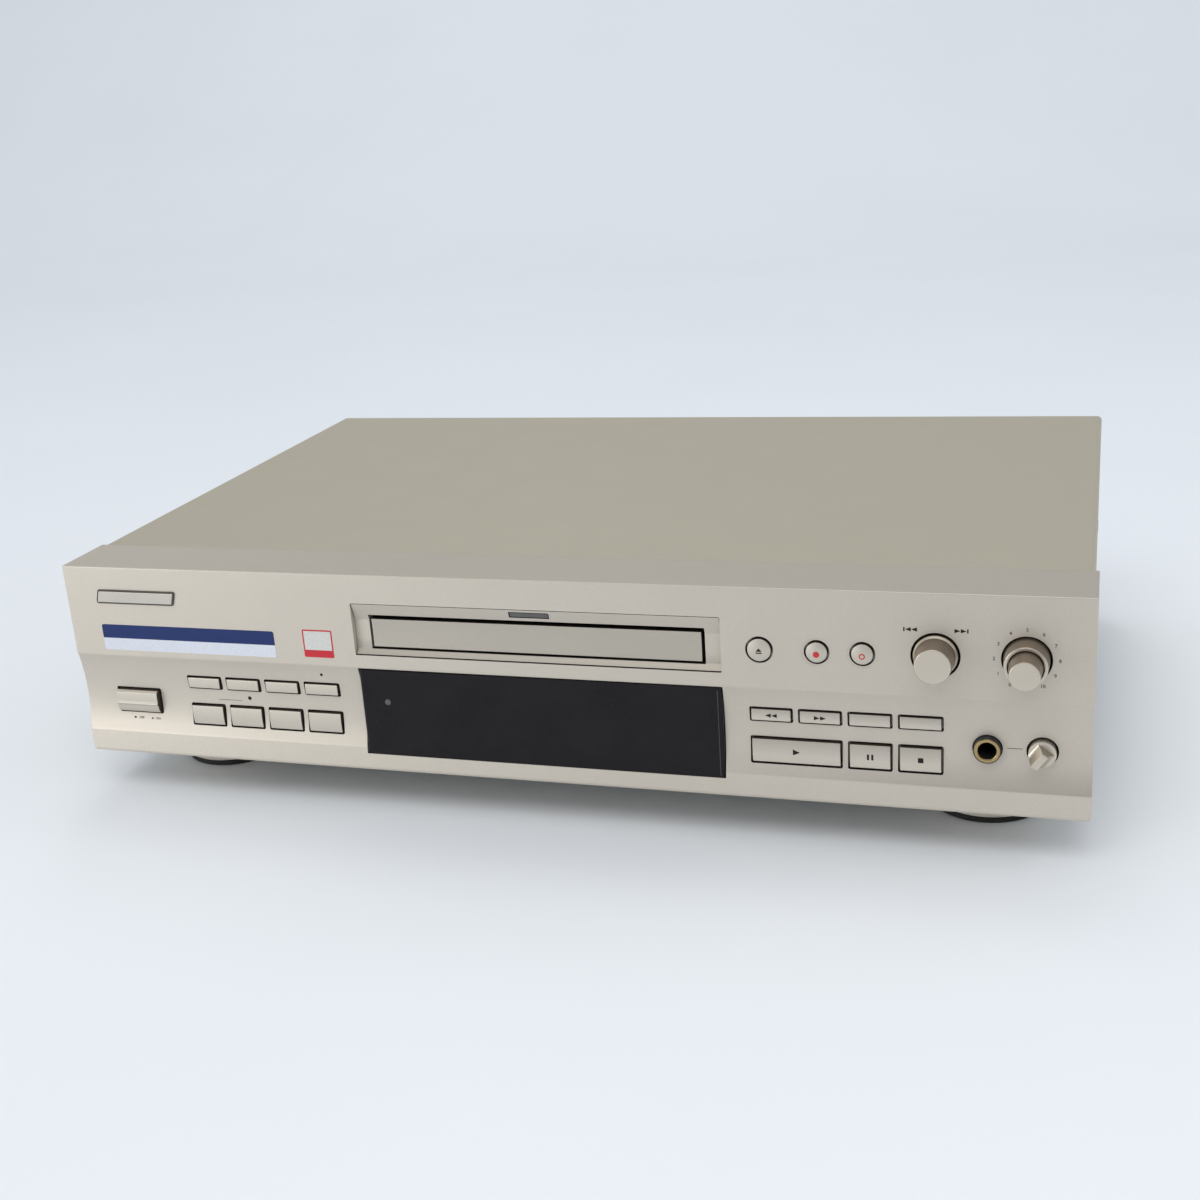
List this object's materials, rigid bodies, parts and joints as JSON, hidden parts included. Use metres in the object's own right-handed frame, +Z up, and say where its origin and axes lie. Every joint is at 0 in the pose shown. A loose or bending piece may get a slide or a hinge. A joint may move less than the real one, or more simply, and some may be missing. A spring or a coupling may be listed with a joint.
{
  "type": "cd recorder",
  "caption": "Full-width hi-fi disc recorder with a motor-driven front tray, display window, push buttons, level knobs and headphone socket.",
  "frame": {"origin": "on the floor under the middle of the bounding box", "axes": "+X to the right as seen by the user facing the front, +Y from the front panel towards the rear, +Z up"},
  "size_m": [0.42, 0.298, 0.105],
  "materials": {
    "champagne_plastic": "metallic champagne paint over moulded plastic, satin",
    "champagne_steel": "metallic champagne paint on sheet steel, satin, fine texture",
    "zinc_steel": "zinc-plated sheet steel, dull",
    "smoked_acrylic": "smoked acrylic, polished",
    "black_plastic": "black moulded plastic",
    "rubber": "black rubber, matte",
    "circuit_board": "green solder mask",
    "transformer_core": "varnished steel laminations",
    "grey_plastic": "dark grey moulded plastic",
    "natural_plastic": "natural acetal",
    "brass": "turned brass",
    "ground_steel": "ground steel",
    "lamp_lens": "grey translucent plastic, unlit"
  },
  "bodies": {
    "cabinet": {"front_panel": "champagne_plastic", "top_cover": "champagne_steel", "rear_panel": "zinc_steel", "bottom_chassis": "zinc_steel", "tray_bezel": "champagne_plastic", "tray_lamp_lens": "lamp_lens", "display_window": "smoked_acrylic", "display_module": "grey_plastic", "front_circuit_board": "circuit_board", "main_circuit_board": "circuit_board", "power_transformer": "transformer_core", "rear_jack_block": "circuit_board", "ac_inlet": "black_plastic", "phones_jack": "black_plastic", "foot_front_left": "champagne_plastic", "foot_front_right": "champagne_plastic", "foot_rear_left": "champagne_plastic", "foot_rear_right": "champagne_plastic", "foot_pad_front_left": "rubber", "foot_pad_front_right": "rubber", "foot_pad_rear_left": "rubber", "foot_pad_rear_right": "rubber", "loader_frame": "grey_plastic", "loading_motor": "zinc_steel", "drive_belt": "rubber", "clamp_bridge": "zinc_steel"},
    "tray": {"disc_tray": "grey_plastic", "tray_door": "champagne_plastic"},
    "loading_gear": {"loading_gear": "natural_plastic"},
    "motor_pulley": {"motor_pulley": "brass"},
    "traverse": {"traverse_base": "grey_plastic", "spindle_motor": "zinc_steel", "guide_rod": "ground_steel"},
    "turntable": {"turntable": "black_plastic"},
    "clamper": {"disc_clamper": "black_plastic"},
    "pickup": {"optical_pickup": "zinc_steel"},
    "lead_screw": {"sled_lead_screw": "ground_steel"},
    "power_button": {"power_button": "champagne_plastic"},
    "input_selector_button": {"input_selector_button": "champagne_plastic"},
    "monitor_button": {"monitor_button": "champagne_plastic"},
    "time_button": {"time_button": "champagne_plastic"},
    "display_off_button": {"display_off_button": "champagne_plastic"},
    "auto_track_button": {"auto_track_button": "champagne_plastic"},
    "write_button": {"write_button": "champagne_plastic"},
    "finalize_button": {"finalize_button": "champagne_plastic"},
    "erase_button": {"erase_button": "champagne_plastic"},
    "search_back_button": {"search_back_button": "champagne_plastic"},
    "search_forward_button": {"search_forward_button": "champagne_plastic"},
    "repeat_button": {"repeat_button": "champagne_plastic"},
    "synchro_button": {"synchro_button": "champagne_plastic"},
    "play_button": {"play_button": "champagne_plastic"},
    "pause_button": {"pause_button": "champagne_plastic"},
    "stop_button": {"stop_button": "champagne_plastic"},
    "eject_button": {"eject_button": "champagne_plastic"},
    "record_button": {"record_button": "champagne_plastic"},
    "record_mute_button": {"record_mute_button": "champagne_plastic"},
    "digital_level_knob": {"digital_level_knob": "champagne_plastic"},
    "analog_outer_knob": {"analog_outer_knob": "champagne_plastic"},
    "analog_inner_knob": {"analog_inner_knob": "champagne_plastic"},
    "phones_level_knob": {"phones_level_knob": "champagne_plastic"}
  },
  "joints": [
    {"name": "tray_slide", "type": "slide", "parent": "cabinet", "child": "tray", "axis": [0, -1, 0], "range_m": [0, 0.15]},
    {"name": "loading_gear_spin", "type": "hinge", "parent": "cabinet", "child": "loading_gear", "pos_m": [-0.0455, -0.0725, 0.07], "axis": [0, 0, 1], "range_deg": [0, 690]},
    {"name": "motor_pulley_spin", "type": "hinge", "parent": "cabinet", "child": "motor_pulley", "pos_m": [-0.05, -0.0305, 0.066], "axis": [0, 0, 1], "range_deg": [0, 2400]},
    {"name": "traverse_tilt", "type": "hinge", "parent": "cabinet", "child": "traverse", "pos_m": [0, 0.0675, 0.0635], "axis": [1, 0, 0], "range_deg": [0, 4.5]},
    {"name": "turntable_spin", "type": "hinge", "parent": "traverse", "child": "turntable", "pos_m": [0, -0.0445, 0.08], "axis": [0, 0, 1], "continuous": true},
    {"name": "clamper_spin", "type": "hinge", "parent": "cabinet", "child": "clamper", "pos_m": [0, -0.0445, 0.09], "axis": [0, 0, 1], "continuous": true},
    {"name": "pickup_slide", "type": "slide", "parent": "traverse", "child": "pickup", "axis": [0, 1, 0], "range_m": [0, 0.033]},
    {"name": "lead_screw_spin", "type": "hinge", "parent": "traverse", "child": "lead_screw", "pos_m": [0.025, 0, 0.07], "axis": [0, 1, 0], "range_deg": [0, 3965]},
    {"name": "power_press", "type": "slide", "parent": "cabinet", "child": "power_button", "axis": [0, 1, 0], "range_m": [0, 0.003], "stiffness_N_per_m": 500, "springref_m": -0.0005},
    {"name": "input_selector_press", "type": "slide", "parent": "cabinet", "child": "input_selector_button", "axis": [0, 1, 0], "range_m": [0, 0.001], "stiffness_N_per_m": 800, "springref_m": -0.0005},
    {"name": "monitor_press", "type": "slide", "parent": "cabinet", "child": "monitor_button", "axis": [0, 1, 0], "range_m": [0, 0.001], "stiffness_N_per_m": 800, "springref_m": -0.0005},
    {"name": "time_press", "type": "slide", "parent": "cabinet", "child": "time_button", "axis": [0, 1, 0], "range_m": [0, 0.001], "stiffness_N_per_m": 800, "springref_m": -0.0005},
    {"name": "display_off_press", "type": "slide", "parent": "cabinet", "child": "display_off_button", "axis": [0, 1, 0], "range_m": [0, 0.001], "stiffness_N_per_m": 800, "springref_m": -0.0005},
    {"name": "auto_track_press", "type": "slide", "parent": "cabinet", "child": "auto_track_button", "axis": [0, 1, 0], "range_m": [0, 0.001], "stiffness_N_per_m": 800, "springref_m": -0.0005},
    {"name": "write_press", "type": "slide", "parent": "cabinet", "child": "write_button", "axis": [0, 1, 0], "range_m": [0, 0.001], "stiffness_N_per_m": 800, "springref_m": -0.0005},
    {"name": "finalize_press", "type": "slide", "parent": "cabinet", "child": "finalize_button", "axis": [0, 1, 0], "range_m": [0, 0.001], "stiffness_N_per_m": 800, "springref_m": -0.0005},
    {"name": "erase_press", "type": "slide", "parent": "cabinet", "child": "erase_button", "axis": [0, 1, 0], "range_m": [0, 0.001], "stiffness_N_per_m": 800, "springref_m": -0.0005},
    {"name": "search_back_press", "type": "slide", "parent": "cabinet", "child": "search_back_button", "axis": [0, 1, 0], "range_m": [0, 0.001], "stiffness_N_per_m": 800, "springref_m": -0.0005},
    {"name": "search_forward_press", "type": "slide", "parent": "cabinet", "child": "search_forward_button", "axis": [0, 1, 0], "range_m": [0, 0.001], "stiffness_N_per_m": 800, "springref_m": -0.0005},
    {"name": "repeat_press", "type": "slide", "parent": "cabinet", "child": "repeat_button", "axis": [0, 1, 0], "range_m": [0, 0.001], "stiffness_N_per_m": 800, "springref_m": -0.0005},
    {"name": "synchro_press", "type": "slide", "parent": "cabinet", "child": "synchro_button", "axis": [0, 1, 0], "range_m": [0, 0.001], "stiffness_N_per_m": 800, "springref_m": -0.0005},
    {"name": "play_press", "type": "slide", "parent": "cabinet", "child": "play_button", "axis": [0, 1, 0], "range_m": [0, 0.001], "stiffness_N_per_m": 800, "springref_m": -0.0005},
    {"name": "pause_press", "type": "slide", "parent": "cabinet", "child": "pause_button", "axis": [0, 1, 0], "range_m": [0, 0.001], "stiffness_N_per_m": 800, "springref_m": -0.0005},
    {"name": "stop_press", "type": "slide", "parent": "cabinet", "child": "stop_button", "axis": [0, 1, 0], "range_m": [0, 0.001], "stiffness_N_per_m": 800, "springref_m": -0.0005},
    {"name": "eject_press", "type": "slide", "parent": "cabinet", "child": "eject_button", "axis": [0, 1, 0], "range_m": [0, 0.001], "stiffness_N_per_m": 800, "springref_m": -0.0005},
    {"name": "record_press", "type": "slide", "parent": "cabinet", "child": "record_button", "axis": [0, 1, 0], "range_m": [0, 0.001], "stiffness_N_per_m": 800, "springref_m": -0.0005},
    {"name": "record_mute_press", "type": "slide", "parent": "cabinet", "child": "record_mute_button", "axis": [0, 1, 0], "range_m": [0, 0.001], "stiffness_N_per_m": 800, "springref_m": -0.0005},
    {"name": "digital_level_turn", "type": "hinge", "parent": "cabinet", "child": "digital_level_knob", "pos_m": [0.1549, -0.1325, 0.0811], "axis": [0, 1, 0], "continuous": true},
    {"name": "analog_outer_turn", "type": "hinge", "parent": "cabinet", "child": "analog_outer_knob", "pos_m": [0.18655, -0.1325, 0.0811], "axis": [0, 1, 0], "range_deg": [0, 300]},
    {"name": "analog_inner_turn", "type": "hinge", "parent": "cabinet", "child": "analog_inner_knob", "pos_m": [0.18655, -0.1325, 0.0811], "axis": [0, 1, 0], "range_deg": [0, 300]},
    {"name": "phones_level_turn", "type": "hinge", "parent": "cabinet", "child": "phones_level_knob", "pos_m": [0.1926, -0.1325, 0.045], "axis": [0, 1, 0], "range_deg": [0, 300]}
  ],
  "couplings": [
    {"joint": "loading_gear_spin", "follows": "tray_slide", "rad_per_m": 80},
    {"joint": "motor_pulley_spin", "follows": "tray_slide", "rad_per_m": 278.5},
    {"joint": "clamper_spin", "follows": "turntable_spin", "ratio": 1},
    {"joint": "lead_screw_spin", "follows": "pickup_slide", "rad_per_m": 2094.4}
  ]
}
